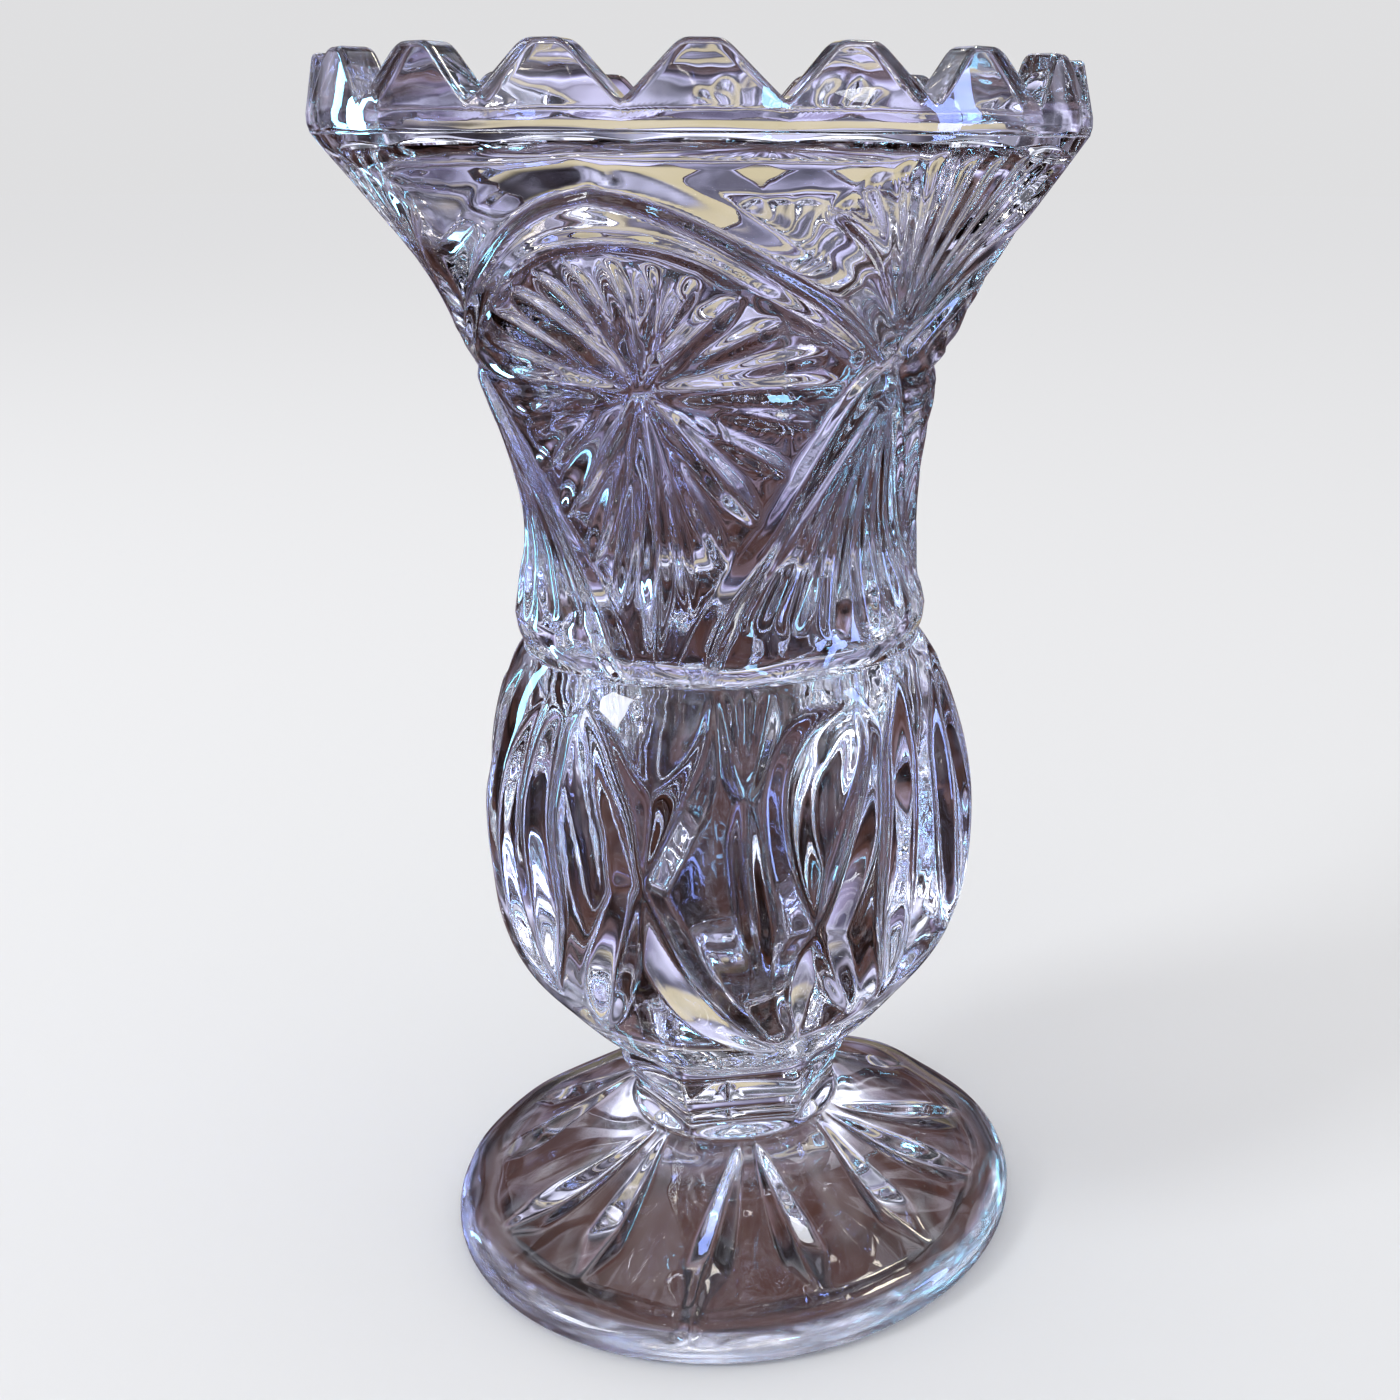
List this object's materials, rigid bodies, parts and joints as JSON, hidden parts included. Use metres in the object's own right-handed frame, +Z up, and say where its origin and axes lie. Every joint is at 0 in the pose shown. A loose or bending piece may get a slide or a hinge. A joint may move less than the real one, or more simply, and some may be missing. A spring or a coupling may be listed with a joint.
{
  "type": "cut crystal vase",
  "caption": "Footed crystal vase with a flared cut bowl, a rounded leaf-cut bulb, a six-sided neck, a rayed round foot and a sawtooth rim.",
  "frame": {"origin": "centre of the foot's underside, in the plane that the vase stands on", "axes": "+Z up along the vase's axis, towards the mouth; one of the three star shields faces -Y"},
  "size_m": [0.0908, 0.0908, 0.152],
  "materials": {
    "crystal_foot": "polished",
    "crystal_neck": "polished",
    "crystal_bulb": "polished",
    "crystal_bowl": "polished",
    "crystal_rim": "polished"
  },
  "bodies": {
    "root": {"foot": "crystal_foot", "neck": "crystal_neck", "bulb": "crystal_bulb", "bowl": "crystal_bowl", "rim": "crystal_rim"}
  },
  "joints": []
}
